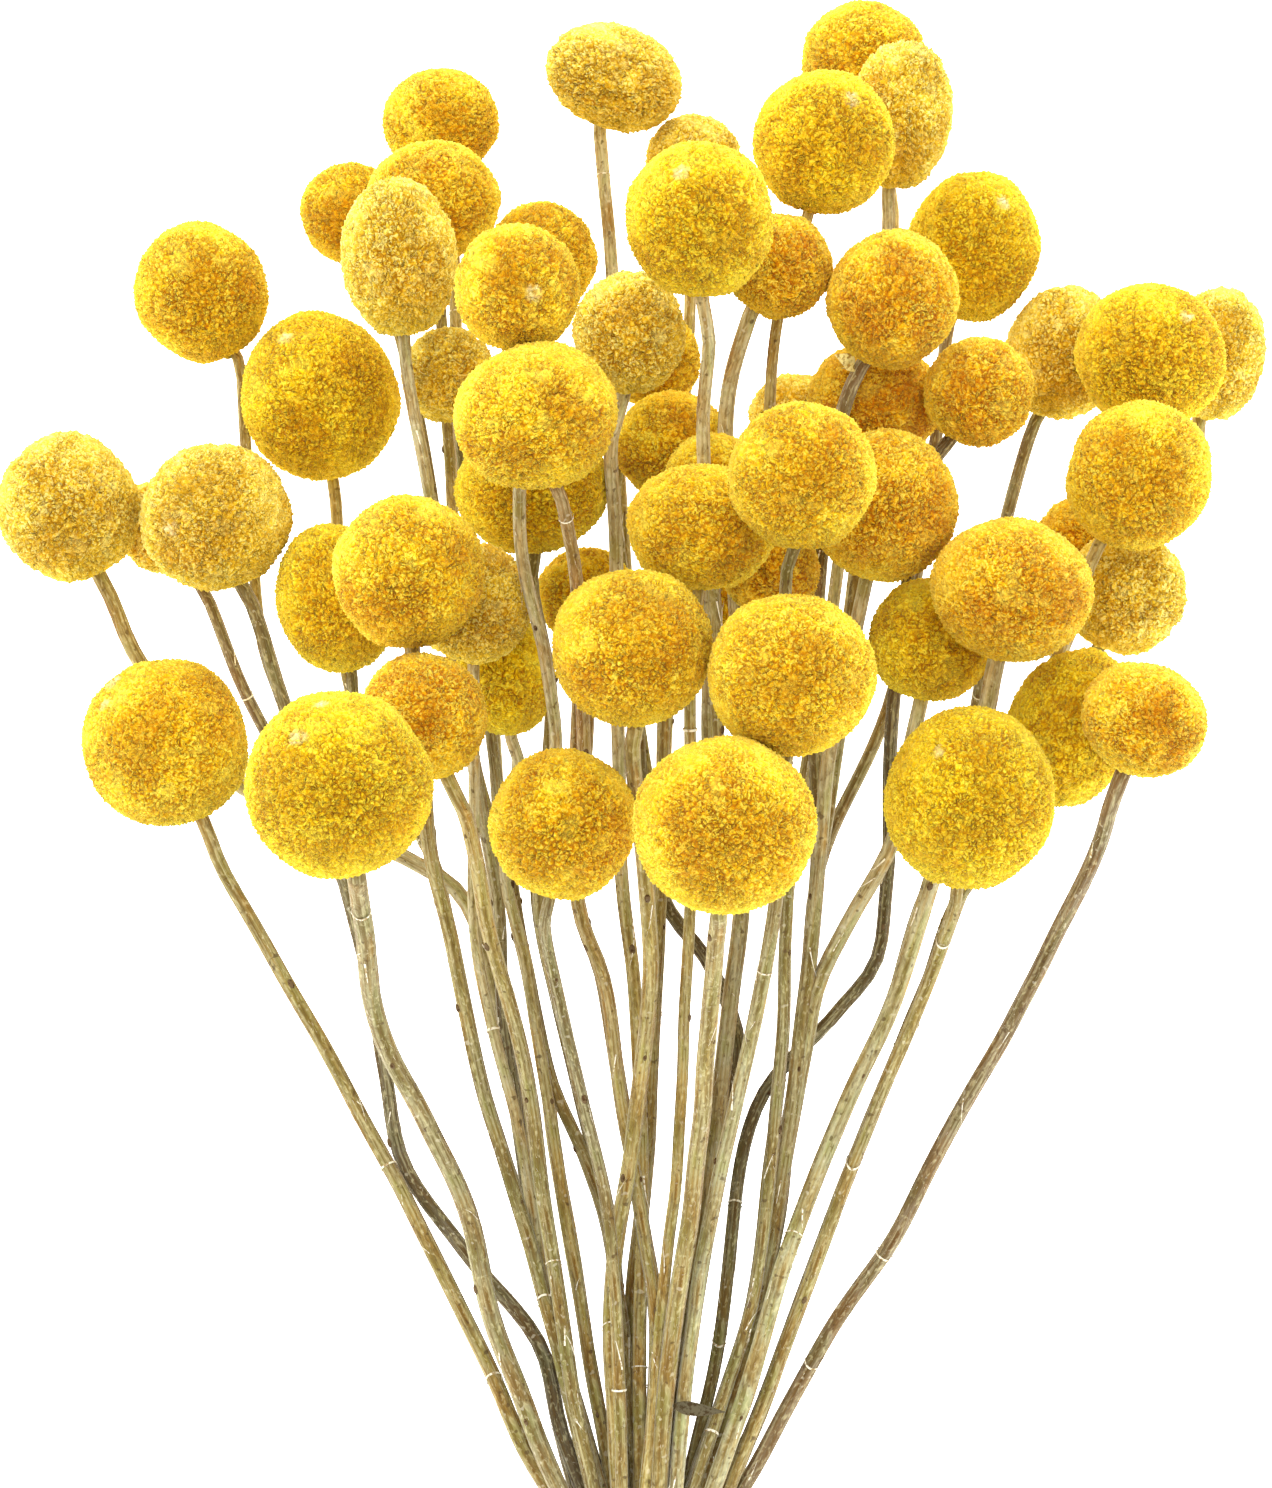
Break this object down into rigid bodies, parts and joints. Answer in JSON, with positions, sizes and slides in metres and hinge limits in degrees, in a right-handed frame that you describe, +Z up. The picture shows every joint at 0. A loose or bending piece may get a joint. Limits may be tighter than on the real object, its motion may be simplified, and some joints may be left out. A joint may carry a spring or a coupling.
{
  "type": "bunch of dried billy buttons",
  "caption": "Lying bunch of dried ball-shaped yellow flower heads with raised florets on long thin stems, gathered by a twine tie.",
  "frame": {"origin": "middle of the bunch's outline on the surface that it lies on", "axes": "+Y along the stems towards the flower heads, +Z up from the surface, +X to the right as seen from above with the heads away from the viewer"},
  "size_m": [0.2314, 0.4542, 0.1164],
  "materials": {
    "lemon_florets": "matte",
    "gold_florets": "matte",
    "mustard_florets": "matte",
    "amber_florets": "matte",
    "stem_straw": "matte",
    "tie_twine": "matte"
  },
  "bodies": {
    "root": {"head_01": "mustard_florets", "head_02": "mustard_florets", "head_03": "mustard_florets", "head_04": "mustard_florets", "head_05": "gold_florets", "head_06": "gold_florets", "head_07": "lemon_florets", "head_08": "amber_florets", "head_09": "gold_florets", "head_10": "mustard_florets", "head_11": "gold_florets", "head_12": "mustard_florets", "head_13": "lemon_florets", "head_14": "gold_florets", "head_15": "gold_florets", "head_16": "mustard_florets", "head_17": "gold_florets", "head_18": "mustard_florets", "head_19": "gold_florets", "head_20": "lemon_florets", "head_21": "lemon_florets", "head_22": "gold_florets", "head_23": "amber_florets", "head_24": "amber_florets", "head_25": "amber_florets", "head_26": "mustard_florets", "head_27": "mustard_florets", "head_28": "amber_florets", "head_29": "gold_florets", "head_30": "lemon_florets", "head_31": "mustard_florets", "head_32": "mustard_florets", "head_33": "mustard_florets", "head_34": "lemon_florets", "head_35": "gold_florets", "head_36": "lemon_florets", "head_37": "mustard_florets", "head_38": "amber_florets", "head_39": "gold_florets", "head_40": "gold_florets", "head_41": "lemon_florets", "head_42": "lemon_florets", "head_43": "gold_florets", "head_44": "gold_florets", "head_45": "amber_florets", "head_46": "amber_florets", "head_47": "lemon_florets", "head_48": "amber_florets", "head_49": "gold_florets", "head_50": "gold_florets", "head_51": "gold_florets", "head_52": "gold_florets", "head_53": "gold_florets", "head_54": "gold_florets", "head_55": "gold_florets", "head_56": "amber_florets", "head_57": "lemon_florets", "head_58": "lemon_florets", "stems": "stem_straw", "tie": "tie_twine"}
  },
  "joints": []
}
